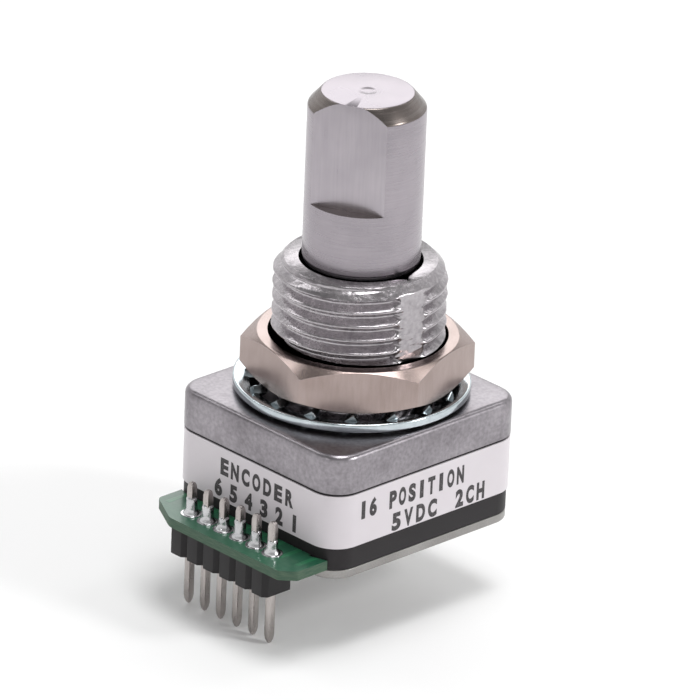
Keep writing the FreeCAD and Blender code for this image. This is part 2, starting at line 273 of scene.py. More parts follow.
def makeSolderMask():
    look = Finish("greenSolderMask", {"Coat Weight": 0.35, "Coat Roughness": 0.12})
    place = look.where()
    across = look.axis("X", place)
    along = look.axis("Y", place)
    # copper tracks under the mask run straight from each pin towards the case
    lane = (across / (1.27 * mm)).maths("FRACT", across / (1.27 * mm) + 100.5)
    track = 1 - ((lane - 0.5).maths("ABSOLUTE", lane - 0.5)).within(0.1, 0.14)
    inside = along.within(-8.8 * mm, -8.7 * mm)
    copper = track * inside
    weave = look.cloud(0.18 * mm, 2.0, (1, 0.3, 1)) * 0.5 + look.cloud(0.18 * mm, 2.0, (0.3, 1, 1)) * 0.5
    drift = look.cloud(2.0 * mm, 2.0)
    green = look.blend(drift, colour(0.012, 0.085, 0.045), colour(0.022, 0.13, 0.07))
    green = look.blend(weave.within(0.45, 0.6) * 0.25, green, colour(0.05, 0.17, 0.09))
    return look.wear({
        "Base Color": look.blend(copper * 0.55, green, colour(0.03, 0.21, 0.09)),
        "Roughness": 0.3 + drift * 0.12,
        "Normal": look.bump(copper * 0.8 + weave * 0.2, 0.012 * mm),
    })


def makeBoardEdge():
    look = Finish("glassFibreEdge", {})
    layers = look.cloud(0.05 * mm, 3.0, (0.08, 0.08, 1))
    return look.wear({
        "Base Color": look.blend(layers.within(0.35, 0.65), colour(0.025, 0.075, 0.045), colour(0.07, 0.12, 0.075)),
        "Roughness": 0.55 + layers * 0.15,
        "Normal": look.bump(layers, 0.01 * mm),
    })


finishes = makeFinishes()


def softCorner(before, corner, after, radius, steps):
    # a corner of an outline drawn as a short curve
    start = corner + (before - corner).normalized() * radius
    end = corner + (after - corner).normalized() * radius
    points = []
    for step in range(steps + 1):
        t = step / steps
        points.append(start * (1 - t) ** 2 + corner * 2 * t * (1 - t) + end * t ** 2)
    return points


def outline(corners, closed=False, steps=4):
    # corners are (radius or x, height or y, softness), in millimetres
    spots = [Vector((a * mm, b * mm)) for a, b, _ in corners]
    points = []
    for index, (_, _, softness) in enumerate(corners):
        atEnd = index in (0, len(corners) - 1) and not closed
        if softness and not atEnd:
            following = spots[(index + 1) % len(spots)]
            points += softCorner(spots[index - 1], spots[index], following, softness * mm, steps)
        else:
            points.append(spots[index])
    return points


def turned(corners, closed=False, steps=160):
    # an outline of (radius, height) spun round the shaft's axis
    bm = bmesh.new()
    verts = [bm.verts.new((p.x, 0, p.y)) for p in outline(corners, closed)]
    pairs = list(zip(verts, verts[1:]))
    if closed:
        pairs.append((verts[-1], verts[0]))
    edges = [bm.edges.new(pair) for pair in pairs]
    bmesh.ops.spin(bm, geom=verts + edges, cent=(0, 0, 0), axis=upward, angle=fullTurn, steps=steps, use_merge=True)
    bmesh.ops.remove_doubles(bm, verts=bm.verts, dist=0.0005 * mm)
    return bm


def extruded(corners, low, high, closed=True):
    # an outline of (x, y) raised from low to high
    bm = bmesh.new()
    verts = [bm.verts.new((p.x, p.y, low * mm)) for p in outline(corners, closed)]
    face = bm.faces.new(verts)
    raised = bmesh.ops.extrude_face_region(bm, geom=[face])["geom"]
    lifted = [item for item in raised if isinstance(item, bmesh.types.BMVert)]
    bmesh.ops.translate(bm, vec=(0, 0, (high - low) * mm), verts=lifted)
    bmesh.ops.recalc_face_normals(bm, faces=bm.faces)
    return bm


def bevelEdges(bm, edges, offset, segments=2):
    bmesh.ops.bevel(bm, geom=edges, offset=offset * mm, offset_type="OFFSET", segments=segments, profile=0.5,
                    affect="EDGES", material=-1, clamp_overlap=True)


def levelEdges(bm, height):
    return [edge for edge in bm.edges
            if all(abs(vert.co.z - height * mm) < 0.001 * mm for vert in edge.verts) and len(edge.link_faces) == 2]


def roundedBlock(left, right, front, back, low, high, corner, topSoft=0.0, lowSoft=0.0):
    bm = bmesh.new()
    bmesh.ops.create_cube(bm, size=1.0)
    bmesh.ops.scale(bm, vec=((right - left) * mm, (back - front) * mm, (high - low) * mm), verts=bm.verts)
    middle = ((left + right) / 2 * mm, (front + back) / 2 * mm, (low + high) / 2 * mm)
    bmesh.ops.translate(bm, vec=middle, verts=bm.verts)
    upright = [edge for edge in bm.edges if abs(edge.verts[0].co.z - edge.verts[1].co.z) > 0.001 * mm]
    bevelEdges(bm, upright, corner, 14)
    for height, soft in ((high, topSoft), (low, lowSoft)):
        if soft:
            bevelEdges(bm, levelEdges(bm, height), soft, 5)
    return bm


def looseObject(name, bm):
    mesh = bpy.data.meshes.new(name)
    bm.to_mesh(mesh)
    bm.free()
    piece = bpy.data.objects.new(name, mesh)
    bpy.context.scene.collection.objects.link(piece)
    return piece


def shaped(bm, cutters, operation="DIFFERENCE"):
    # cuts the cutters from a shape, or joins them to it
    base = looseObject("shapeBase", bm)
    tools = [looseObject("shapeTool", cutter) for cutter in cutters]
    for tool in tools:
        change = base.modifiers.new("shape", "BOOLEAN")
        change.operation = operation
        change.solver = "EXACT"
        change.object = tool
    result = bmesh.new()
    result.from_object(base, bpy.context.evaluated_depsgraph_get())
    for piece in [base] + tools:
        bpy.data.objects.remove(piece)
    bmesh.ops.remove_doubles(result, verts=result.verts, dist=0.0005 * mm)
    return result


def post(radius, low, high, x=0.0, y=0.0, steps=64):
    bm = bmesh.new()
    bmesh.ops.create_cone(bm, cap_ends=True, segments=steps, radius1=radius * mm, radius2=radius * mm,
                          depth=(high - low) * mm)
    bmesh.ops.translate(bm, vec=(x * mm, y * mm, (low + high) / 2 * mm), verts=bm.verts)
    return bm


def box(left, right, front, back, low, high):
    bm = bmesh.new()
    bmesh.ops.create_cube(bm, size=1.0)
    bmesh.ops.scale(bm, vec=((right - left) * mm, (back - front) * mm, (high - low) * mm), verts=bm.verts)
    middle = ((left + right) / 2 * mm, (front + back) / 2 * mm, (low + high) / 2 * mm)
    bmesh.ops.translate(bm, vec=middle, verts=bm.verts)
    return bm


def spunAbout(bm, angle):
    bmesh.ops.rotate(bm, cent=(0, 0, 0), matrix=Matrix.Rotation(math.radians(angle), 3, "Z"), verts=bm.verts)
    return bm


def gathered(parts):
    # several shapes in one mesh
    whole = bmesh.new()
    for part in parts:
        mesh = bpy.data.meshes.new("part")
        part.to_mesh(mesh)
        part.free()
        whole.from_mesh(mesh)
        bpy.data.meshes.remove(mesh)
    return whole


def finished(name, bm, looks, body, nodes, sharp=32, outward=True):
    # the finished object, with its crease edges marked, riding on its body
    if outward:
        bmesh.ops.recalc_face_normals(bm, faces=bm.faces)
    for face in bm.faces:
        face.smooth = True
    for edge in bm.edges:
        if len(edge.link_faces) == 2:
            edge.smooth = edge.calc_face_angle(0.0) < math.radians(sharp)
    piece = looseObject(name, bm)
    for look in looks:
        piece.data.materials.append(finishes[look].material)
    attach(piece, body)
    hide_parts(*nodes)
    print("made", name, len(piece.data.polygons), "faces")
    return piece


shaftSizes = {
    "radius": 3.175, "top": 17.2, "chamfer": 0.7, "flatDistance": 2.385, "flatBottom": 11.2, "flatAngle": -65.0,
    "relief": 3.12, "reliefLow": 7.05, "reliefHigh": 7.8, "seat": 2.4, "seatFlat": 2.0, "seatLow": -3.1,
    "shoulder": -0.85, "tail": 1.5, "tailFlat": 1.1, "tailLow": -4.72,
}


def makeShaft(size):
    radius = size["radius"]
    top = size["top"]
    crown = radius - size["chamfer"]
    bm = turned([
        (0, size["tailLow"], 0),
        (size["tail"], size["tailLow"], 0.1),
        (size["tail"], size["seatLow"] - 0.27, 0),
        (1.0, size["seatLow"] - 0.27, 0),
        (1.0, size["seatLow"], 0),
        (size["seat"], size["seatLow"], 0.05),
        (size["seat"], size["shoulder"], 0),
        (radius, size["shoulder"], 0.1),
        (radius, size["reliefLow"], 0.05),
        (size["relief"], size["reliefLow"], 0.05),
        (size["relief"], size["reliefHigh"], 0.05),
        (radius, size["reliefHigh"], 0.05),
        (radius, top - size["chamfer"] * 1.15, 0.12),
        (crown, top, 0.07),
        (0.5, top, 0.08),
        (0.3, top - 0.04, 0.08),
        (0, top - 0.05, 0),
    ], steps=192)
    angle = size["flatAngle"]
    far = radius + 1
    knobFlat = spunAbout(box(size["flatDistance"], far, -4, 4, size["flatBottom"], top + 1), angle)
    seatFlat = spunAbout(box(size["seatFlat"], far, -4, 4, size["seatLow"], size["shoulder"]), angle)
    tailFlat = spunAbout(box(size["tailFlat"], far, -4, 4, size["tailLow"] - 1, size["seatLow"] - 0.27), angle)
    bm = shaped(bm, [knobFlat, seatFlat, tailFlat])
    facing = Matrix.Rotation(math.radians(angle), 3, "Z") @ Vector((1, 0, 0))
    onFlat = [face for face in bm.faces
              if face.normal.dot(facing) > 0.999 and face.calc_center_median().z > size["flatBottom"] * mm
              and face.calc_center_median().dot(facing) < size["flatDistance"] * mm + 1e-6]
    for face in onFlat:
        face.material_index = 1
    # the flat's step and the top chamfer take the darker steel, which is painted shade
    for face in bm.faces:
        height = face.calc_center_median().z / mm
        onStep = face.normal.z > 0.99 and abs(height - size["flatBottom"]) < 0.01
        onChamfer = 0.4 < face.normal.z < 0.9 and height > top - size["chamfer"] * 1.2
        if onStep or onChamfer:
            face.material_index = 2
    rim = {edge for face in onFlat for edge in face.edges}
    rim = [edge for edge in rim if edge.calc_face_angle(0.0) > 0.3]
    bevelEdges(bm, rim, 0.035, 2)
    return finished("knobShaft", bm, ["shaft", "flat", "cutSteelPaintedShade"], "shaft", ["shaft"], sharp=24)


makeShaft(shaftSizes)


threadSizes = {
    "pitch": 25.4 / 32, "crest": 4.675, "depth": 0.487, "crestFlat": 0.1, "rootFlat": 0.12, "start": 0.55,
    "endAngle": 40.0, "top": 7.6, "rim": 4.1, "mouth": 3.28, "bore": 3.2, "roof": -0.8,
    "landRadius": 4.535, "landHalfAngle": 13.0, "landAngle": -5.0, "steps": 150,
}


def threadedWall(size, low, high, gap):
    # one turn's section spun up the helix, turn after turn, and trimmed level
    pitch = size["pitch"]
    crest = size["crest"] + gap
    root = crest - size["depth"]
    flank = (pitch - size["crestFlat"] - size["rootFlat"]) / 2
    soft = 0.05
    corners = [
        (root, 0, 0),
        (root, size["rootFlat"] / 2, soft),
        (crest, size["rootFlat"] / 2 + flank, soft),
        (crest, pitch - size["rootFlat"] / 2 - flank, soft),
        (root, pitch - size["rootFlat"] / 2, soft),
        (root, pitch, 0),
    ]
    steps = size["steps"]
    turns = math.ceil((high - low) / pitch) + 2
    bm = bmesh.new()
    base = size["start"] - pitch * math.ceil((size["start"] - low) / pitch + 1)
    verts = [bm.verts.new((p.x, 0, p.y + base * mm)) for p in outline(corners, steps=3)]
    edges = [bm.edges.new(pair) for pair in zip(verts, verts[1:])]
    bmesh.ops.subdivide_edges(bm, edges=[edge for edge in edges if edge.calc_length() > 0.2 * mm], cuts=5)
    bmesh.ops.spin(bm, geom=list(bm.verts) + list(bm.edges), cent=(0, 0, 0), axis=upward,
                   dvec=(0, 0, pitch * mm / steps), angle=fullTurn * turns, steps=steps * turns)
    bmesh.ops.remove_doubles(bm, verts=bm.verts, dist=0.002 * mm)
    spunAbout(bm, size["endAngle"])
    return bm


def trimLevel(bm, low, high):
    for height, direction in ((low, -1), (high, 1)):
        bmesh.ops.bisect_plane(bm, geom=list(bm.verts) + list(bm.edges) + list(bm.faces),
                               plane_co=(0, 0, height * mm), plane_no=(0, 0, direction), clear_outer=True)


def openEdges(bm, height):
    return [edge for edge in bm.edges
            if len(edge.link_faces) == 1 and all(abs(v.co.z - height * mm) < 0.002 * mm for v in edge.verts)]


def angleFrom(vert, centre):
    turn = math.degrees(math.atan2(vert.co.y, vert.co.x)) - centre
    return (turn + 180) % 360 - 180


def castThread(bm, size):
    # the mould's two parting lands, the top chamfer and the casting's uneven skin
    for vert in bm.verts:
        radius = vert.co.xy.length / mm
        height = vert.co.z / mm
        ragged = noise.noise(Vector((height * 2.3, 0.7, 1.9))) * 5.0
        for centre in (size["landAngle"], size["landAngle"] + 180):
            spread = size["landHalfAngle"] + ragged - abs(angleFrom(vert, centre))
            fill = min(max(spread / 1.6, 0.0), 1.0)
            land = size["landRadius"] + noise.noise(vert.co * 1800) * 0.03
            radius += (land - radius) * fill
        grain = noise.noise(vert.co * 2600) * 0.03 + noise.noise(vert.co * 900) * 0.015
        radius = min(radius + grain, size["rim"] + (size["top"] - height) + grain * 0.6)
        vert.co.xy = vert.co.xy.normalized() * radius * mm


def makeBushing(size):
    low = size["roof"] + 0.2
    bm = threadedWall(size, low, size["top"], 0.0)
    castThread(bm, size)
    trimLevel(bm, low, size["top"])
    shoulder = [
        (size["bore"], low, 0),
        (size["bore"], size["top"] - (size["mouth"] - size["bore"]) * 1.2, 0.05),
        (size["mouth"], size["top"] - 0.04, 0.04),
        (size["mouth"] + 0.06, size["top"], 0),
    ]
    inner = turned(shoulder, steps=size["steps"])
    bm = gathered([bm, inner])
    for height in (low, size["top"]):
        bmesh.ops.bridge_loops(bm, edges=openEdges(bm, height))
    # the thread wears the lighter zinc, which is painted highlight
    return finished("threadedBushing", bm, ["thread"], "housing", ["bushing_housing"], sharp=50)


makeBushing(threadSizes)


castSizes = {
    "left": -6.4, "right": 6.4, "front": -7.4, "back": 6.4, "bottom": -2.2, "corner": 1.6, "edge": 0.38,
    "spigot": 5.7, "spigotLow": -3.4, "cavity": 4.85, "roof": -0.8, "scallop": 0.85, "scallopAt": 4.25,
    "detents": 16,
}


def makeCastTop(size):
    bm = roundedBlock(size["left"], size["right"], size["front"], size["back"], size["bottom"], 0,
                      size["corner"], size["edge"], 0.06)
    bm = shaped(bm, [post(size["spigot"], size["spigotLow"], size["bottom"] + 0.2, steps=128)], "UNION")
    below = size["spigotLow"] - 1
    cutters = [post(size["cavity"], below, size["roof"], steps=128), post(threadSizes["bore"], below, 1, steps=96)]
    for step in range(size["detents"]):
        turn = fullTurn * step / size["detents"]
        x = size["scallopAt"] * math.cos(turn)
        y = size["scallopAt"] * math.sin(turn)
        cutters.append(post(size["scallop"], below, size["roof"], x, y, 32))
    bm = shaped(bm, cutters)
    return finished("castTopShell", bm, ["zinc"], "housing", ["bushing_housing"], sharp=30)


makeCastTop(castSizes)


nutSizes = {"flats": 10.9, "bottom": 0.9, "top": 3.3, "angle": 47.5, "lead": 4.85, "gap": 0.03}


def makeNut(size):
    apothem = size["flats"] / 2
    corner = apothem / math.cos(math.radians(30)) + 0.03
    faceRadius = apothem - 0.06
    fall = (corner - faceRadius) * math.tan(math.radians(30))
    bm = turned([
        (size["lead"], size["bottom"], 0),
        (faceRadius, size["bottom"], 0.05),
        (corner, size["bottom"] + fall, 0),
        (corner, size["top"] - fall, 0),
        (faceRadius, size["top"], 0.05),
        (size["lead"], size["top"], 0),
    ], steps=192)
    for step in range(6):
        turn = math.radians(size["angle"] + 30 + 60 * step)
        direction = Vector((math.cos(turn), math.sin(turn), 0))
        cut = bmesh.ops.bisect_plane(bm, geom=list(bm.verts) + list(bm.edges) + list(bm.faces),
                                     plane_co=direction * apothem * mm, plane_no=direction, clear_outer=True)
        bmesh.ops.edgeloop_fill(bm, edges=[item for item in cut["geom_cut"]
                                           if isinstance(item, bmesh.types.BMEdge)])
    upright = [edge for edge in bm.edges if abs(edge.verts[0].co.z - edge.verts[1].co.z) > 0.8 * mm
               and edge.calc_face_angle(0.0) > 0.6]
    bevelEdges(bm, upright, 0.07, 3)
    wall = threadedWall(threadSizes, size["bottom"], size["top"], size["gap"])
    for vert in wall.verts:
        radius = vert.co.xy.length / mm
        nearest = min(vert.co.z / mm - size["bottom"], size["top"] - vert.co.z / mm)
        radius = max(radius, size["lead"] - max(nearest, 0) * 1.3)
        vert.co.xy = vert.co.xy.normalized() * radius * mm
    trimLevel(wall, size["bottom"], size["top"])
    bm = gathered([bm, wall])
    for height in (size["bottom"], size["top"]):
        bmesh.ops.bridge_loops(bm, edges=openEdges(bm, height))
    return finished("panelNut", bm, ["nut"], "housing", ["mounting_nut"], sharp=28)


makeNut(nutSizes)


washerSizes = {
    "radius": 6.4, "ring": 0.9, "thickness": 0.5, "middle": 0.45, "teeth": 16, "reach": 4.97, "tooth": 0.95,
    "twist": 35.0, "shift": (-0.16, -0.16),
}


def makeWasher(size):
    low = size["middle"] - size["thickness"] / 2
    high = size["middle"] + size["thickness"] / 2
    inner = size["radius"] - size["ring"]
    ring = turned([
        (inner, low, 0.08),
        (size["radius"], low, 0.12),
        (size["radius"], high, 0.18),
        (inner, high - 0.16, 0.08),
    ], closed=True, steps=192)
    parts = [ring]
    for step in range(size["teeth"]):
        tooth = box(size["reach"], inner + 0.25, -size["tooth"] / 2, size["tooth"] / 2, low, high)
        bevelEdges(tooth, list(tooth.edges), 0.06, 2)
        # the teeth take the darker zinc, which is painted shade
        for face in tooth.faces:
            face.material_index = 1
        bmesh.ops.rotate(tooth, cent=(0, 0, size["middle"] * mm), verts=tooth.verts,
                         matrix=Matrix.Rotation(math.radians(size["twist"]), 3, "X"))
        parts.append(spunAbout(tooth, 360 * step / size["teeth"]))
    bm = gathered(parts)
    bmesh.ops.translate(bm, vec=(size["shift"][0] * mm, size["shift"][1] * mm, 0), verts=bm.verts)
    return finished("toothWasher", bm, ["washer", "teeth"], "housing", ["lock_washer"], sharp=40)


makeWasher(washerSizes)


caseSizes = {
    "inset": 0.1, "wall": 0.7, "bottom": -6.65, "plateBottom": -7.15, "neck": 4.6, "bore": 5.72,
    "ledge": -3.6, "boardTop": -6.05, "rivetIn": 1.0, "rivet": 0.35, "head": 0.6, "rivetTop": -1.22,
}


def caseBlock(inset, low, high, corner, topSoft=0.0, lowSoft=0.0):
    return roundedBlock(castSizes["left"] + inset, castSizes["right"] - inset, castSizes["front"] + inset,
                        castSizes["back"] - inset, low, high, corner, topSoft, lowSoft)


def rivetSpots(size):
    side = castSizes["right"] - size["rivetIn"]
    ends = (castSizes["front"] + size["rivetIn"], castSizes["back"] - size["rivetIn"])
    return [(x, y) for x in (-side, side) for y in ends]


def makeCase(size):
    bm = caseBlock(size["inset"], size["bottom"], castSizes["bottom"], castSizes["corner"] - size["inset"], 0.05, 0.08)
    hollow = caseBlock(size["inset"] + size["wall"], size["bottom"] - 1, size["ledge"], 2.2)
    slot = box(-size["neck"], size["neck"], castSizes["front"] - 1, 0, size["bottom"] - 1, size["boardTop"] + 0.02)
    cutters = [post(size["bore"], size["ledge"] - 0.1, 0, steps=128), hollow, slot]
    cutters += [post(size["rivet"] + 0.02, size["bottom"] - 1, 0, x, y, 32) for x, y in rivetSpots(size)]
    bm = shaped(bm, cutters)
    finished("codeCase", bm, ["nylon"], "housing", ["code_housing"], sharp=30)
    plate = caseBlock(size["inset"], size["plateBottom"], size["bottom"], castSizes["corner"] - size["inset"],
                      0.04, 0.1)
    sinks = [post(0.62, size["plateBottom"] - 1, size["plateBottom"] + 0.2, x, y, 48) for x, y in rivetSpots(size)]
    sinks += [post(size["rivet"] + 0.02, size["bottom"] - 1, 0, x, y, 32) for x, y in rivetSpots(size)]
    plate = shaped(plate, sinks)
    finished("backPlate", plate, ["plate"], "housing", ["backplate"], sharp=30)
    rivets = []
    for x, y in rivetSpots(size):
        rivet = turned([
            (0, size["plateBottom"] + 0.06, 0),
            (0.2, size["plateBottom"] + 0.05, 0.06),
            (0.3, size["plateBottom"], 0.08),
            (size["head"], size["plateBottom"], 0.08),
            (size["head"], size["plateBottom"] + 0.2, 0.02),
            (size["rivet"], size["plateBottom"] + 0.2, 0.02),
            (size["rivet"], size["rivetTop"], 0.08),
            (0, size["rivetTop"], 0),
        ], steps=48)
        bmesh.ops.translate(rivet, vec=(x * mm, y * mm, 0), verts=rivet.verts)
        rivets.append(rivet)
    finished("caseRivets", gathered(rivets), ["plate"], "housing", ["backplate_rivets"], sharp=30)


makeCase(caseSizes)


labelSizes = {
    "inset": 0.1, "thickness": 0.08, "top": -2.32, "bottom": -5.36, "gap": (-1.2, -0.6), "lift": 0.006,
    "fill": 0.74,
}


def makeLabel(size):
    bm = caseBlock(size["inset"], size["bottom"], size["top"], castSizes["corner"] - size["inset"])
    caps = [face for face in bm.faces if abs(face.normal.z) > 0.9]
    bmesh.ops.delete(bm, geom=caps, context="FACES_ONLY")
    for x, direction in ((size["gap"][0], 1), (size["gap"][1], -1)):
        near = [face for face in bm.faces if face.calc_center_median().y > 0 and face.normal.y > 0.99]
        around = list({item for face in near for item in list(face.verts) + list(face.edges)}) + near
        bmesh.ops.bisect_plane(bm, geom=around, plane_co=(x * mm, 0, 0), plane_no=(direction, 0, 0))
    seam = [face for face in bm.faces if face.normal.y > 0.99
            and size["gap"][0] * mm < face.calc_center_median().x < size["gap"][1] * mm]
    bmesh.ops.delete(bm, geom=seam, context="FACES")
    bmesh.ops.solidify(bm, geom=list(bm.faces), thickness=-size["thickness"] * mm)
    return finished("wrapLabel", bm, ["label"], "housing", ["label"], sharp=30)


makeLabel(labelSizes)


printLines = [
    # words, letter height, letter pitch, first letter's place along the face, height of the line, face
    ("ENCODER", 0.90, 0.84, -2.2, -3.8, "front"),
    ("16 POSITION", 0.95, 0.71, -4.76, -3.83, "side"),
    ("5VDC", 0.95, 0.88, -2.29, -5.2, "side"),
    ("2CH", 0.95, 0.78, 2.34, -5.2, "side"),
]
printLines += [(str(6 - step), 0.92, 0.8, -2.6 + step * 1.19, -5.1, "front") for step in range(6)]


def glyphMesh(letter, height):
    curve = bpy.data.curves.new("glyph", "FONT")
    curve.body = letter
    curve.size = height * mm * 1.38
    curve.offset = height * mm * 0.075
    curve.extrude = labelSizes["lift"] * mm / 2
    curve.resolution_u = 6
    curve.align_x = "CENTER"
    text = bpy.data.objects.new("glyph", curve)
    bpy.context.scene.collection.objects.link(text)
    mesh = bpy.data.meshes.new_from_object(text.evaluated_get(bpy.context.evaluated_depsgraph_get()))
    bpy.data.objects.remove(text)
    return mesh


def makePrint(size):
    bm = bmesh.new()
    out = size["inset"] - size["thickness"]
    faces = {
        "front": (Vector((0, castSizes["front"] + out, 0)), Vector((1, 0, 0)), Vector((0, -1, 0))),
        "side": (Vector((castSizes["right"] - out, -0.5, 0)), Vector((0, 1, 0)), Vector((1, 0, 0))),
    }
    for words, height, pitch, start, level, face in printLines:
        origin, along, outwards = faces[face]
        for index, letter in enumerate(words):
            if letter == " ":
                continue
            mesh = glyphMesh(letter, height)
            spot = (origin + along * (start + pitch * index) + upward * level) * mm
            spot += outwards * size["lift"] * mm * 0.4
            place = Matrix((along, upward, outwards)).transposed().to_4x4()
            place.translation = spot
            width = max(v.co.x for v in mesh.vertices) - min(v.co.x for v in mesh.vertices)
            place = place @ Matrix.Scale(min(size["fill"] * pitch * mm / width, 1.0), 4, (1, 0, 0))
            mesh.transform(place)
            bm.from_mesh(mesh)
            bpy.data.meshes.remove(mesh)
    bmesh.ops.remove_doubles(bm, verts=bm.verts, dist=0.0008 * mm)
    return finished("labelPrint", bm, ["ink"], "housing", ["label"], sharp=30)


makePrint(labelSizes)


boardSizes = {
    "top": -6.05, "bottom": -6.6, "outer": -10.0, "left": -5.75, "right": 5.7, "leftCut": (2.2, 1.2),
    "rightCut": (0.75, 0.75), "neck": 4.55, "inset": 0.9, "inner": 2.1, "root": -7.1,
}
headerSizes = {
    "pitch": 1.27, "count": 6, "row": -8.75, "side": 0.4, "top": -4.2, "bottom": -11.3, "depth": 2.1,
    "low": -8.2, "notch": 0.25,
}


def pinSpots(size):
    return [(size["pitch"] * (step - (size["count"] - 1) / 2), size["row"]) for step in range(size["count"])]


def makeBoard(size):
    inner = roundedBlock(castSizes["left"] + size["inset"], castSizes["right"] - size["inset"],
                         castSizes["front"] + size["inset"], castSizes["back"] - size["inset"],
                         size["bottom"], size["top"], size["inner"])
    neck = box(-size["neck"], size["neck"], castSizes["front"] - 0.2, -5, size["bottom"], size["top"])
    shelf = extruded([
        (size["left"], size["root"], 0),
        (size["left"], size["outer"] + size["leftCut"][1], 0.25),
        (size["left"] + size["leftCut"][0], size["outer"], 0.25),
        (size["right"] - size["rightCut"][0], size["outer"], 0.12),
        (size["right"], size["outer"] + size["rightCut"][1], 0.12),
        (size["right"], size["root"], 0),
        (size["neck"] + 0.15, castSizes["front"] - 0.02, 0),
        (-size["neck"] - 0.15, castSizes["front"] - 0.02, 0),
    ], size["bottom"], size["top"])
    bm = shaped(inner, [neck, shelf], "UNION")
    holes = [post(0.3, size["bottom"] - 1, size["top"] + 1, x, y, 24) for x, y in pinSpots(headerSizes)]
    bm = shaped(bm, holes)
    for face in bm.faces:
        face.material_index = 0 if abs(face.normal.z) > 0.7 else 1
    return finished("circuitBoard", bm, ["mask", "boardEdge"], "housing", ["circuit_board"], sharp=30)


makeBoard(boardSizes)


def makeInsulator(size):
    half = size["pitch"] * size["count"] / 2
    front = size["row"] - size["depth"] / 2
    back = size["row"] + size["depth"] / 2
    notch = size["notch"]
    corners = []
    for face, inward, order in ((front, 1, 1), (back, -1, -1)):
        edge = []
        for step in range(size["count"]):
            start = -half + step * size["pitch"]
            edge.append((start + notch, face, 0.03))
            edge.append((start + size["pitch"] - notch, face, 0.03))
            if step < size["count"] - 1:
                edge.append((start + size["pitch"], face + inward * notch, 0.03))
        edge = [(-half, face + inward * notch, 0.03)] + edge + [(half, face + inward * notch, 0.03)]
        corners += edge[::order]
    bm = extruded(corners, size["low"], boardSizes["bottom"])
    bevelEdges(bm, levelEdges(bm, size["low"]), 0.04, 2)
    side = size["side"] / 2
    holes = [box(x - side, x + side, y - side, y + side, size["low"] - 1, 0) for x, y in pinSpots(size)]
    bm = shaped(bm, holes)
    return finished("headerStrip", bm, ["header"], "housing", ["header_insulator"], sharp=30)


makeInsulator(headerSizes)


def makePin(size, x, y):
    side = size["side"]
    bm = box(x - side / 2, x + side / 2, y - side / 2, y + side / 2, size["bottom"] + 0.5, size["top"] - 0.32)
    for height, target, narrow in ((size["bottom"] + 0.5, size["bottom"], 0.42), (size["top"] - 0.32, size["top"], 0.5)):
        cap = [face for face in bm.faces if all(abs(v.co.z - height * mm) < 1e-7 for v in face.verts)]
        for share in (0.55, 1.0):
            raised = bmesh.ops.extrude_face_region(bm, geom=cap)["geom"]
            bmesh.ops.delete(bm, geom=cap, context="FACES_ONLY")
            verts = [item for item in raised if isinstance(item, bmesh.types.BMVert)]
            cap = [item for item in raised if isinstance(item, bmesh.types.BMFace)]
            reach = (height + (target - height) * share) * mm
            scale = 1 - (1 - narrow) * share ** 2
            for vert in verts:
                vert.co.z = reach
                vert.co.x = x * mm + math.copysign(side / 2 * mm * scale, vert.co.x - x * mm)
                vert.co.y = y * mm + math.copysign(side / 2 * mm * scale, vert.co.y - y * mm)
    corners = [edge for edge in bm.edges if edge.calc_face_angle(0.0) > 0.9]
    bevelEdges(bm, corners, 0.035, 2)
    return bm


def makePins(size):
    pins = gathered([makePin(size, x, y) for x, y in pinSpots(size)])
    finished("headerPins", pins, ["pins"], "housing", ["header_pins"], sharp=30)


makePins(headerSizes)


def makeSolder(size):
    joints = []
    pads = []
    top = boardSizes["top"]
    for index, (x, y) in enumerate(pinSpots(size)):
        tall = 0.86 + 0.18 * math.sin(index * 2.3 + 0.4)
        cone = turned([
            (0, top + 0.02, 0),
            (0.46, top + 0.02, 0.02),
            (0.45, top + 0.08, 0.05),
            (0.34, top + 0.26, 0.12),
            (0.29, top + tall, 0.1),
            (0.2, top + tall + 0.08, 0.03),
            (0, top + tall + 0.08, 0),
        ], steps=48)
        bmesh.ops.subdivide_edges(cone, edges=[e for e in cone.edges if e.calc_length() > 0.12 * mm], cuts=1)
        for vert in cone.verts:
            sway = noise.noise_vector(vert.co * 1500 + Vector((index * 3.1, 0, 0))) * 0.05
            lift = min(max((vert.co.z / mm - top) * 3, 0), 1)
            vert.co += Vector((sway.x, sway.y, 0)) * mm * lift
        bmesh.ops.translate(cone, vec=(x * mm, y * mm, 0), verts=cone.verts)
        joints.append(cone)
        pad = turned([
            (0.3, top, 0),
            (0.58, top, 0.01),
            (0.58, top + 0.04, 0.02),
            (0.3, top + 0.04, 0),
        ], closed=True, steps=48)
        bmesh.ops.translate(pad, vec=(x * mm, y * mm, 0), verts=pad.verts)
        pads.append(pad)
    finished("solderJoints", gathered(joints), ["solder"], "housing", ["solder_joints"], sharp=50)
    finished("solderPads", gathered(pads), ["solder"], "housing", ["solder_pads"], sharp=30)


makeSolder(headerSizes)


hiddenLooks = {
    "emitter_board": "mask", "ir_emitters": "lens", "phototransistors": "epoxy", "chip_resistors": "epoxy",
    "link_pins": "pins", "dome_retainer": "nylon", "dome_contact": "gold", "snap_dome": "spring",
    "code_rotor": "nylon", "detent_rotor": "nylon", "retaining_ring": "spring", "detent_spring": "spring",
    "detent_ball_a": "spring", "detent_ball_b": "spring", "pushbutton_plunger": "whiteNylon",
}
for nodeName, lookName in hiddenLooks.items():
    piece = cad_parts[nodeName]
    piece.data.materials.clear()
    piece.data.materials.append(finishes[lookName].material)
print("inner pieces finished:", len(hiddenLooks))


studio = {
    "azimuth": 45.86, "elevation": 24.13, "roll": 2.34, "distance": 546.3, "lens": 527.5, "sensor": 36.0,
    "aimHeight": 5.0, "aimRight": -0.39, "aimUp": -2.59,
    "floorDrop": 0.05, "floorSize": 6.0,
}


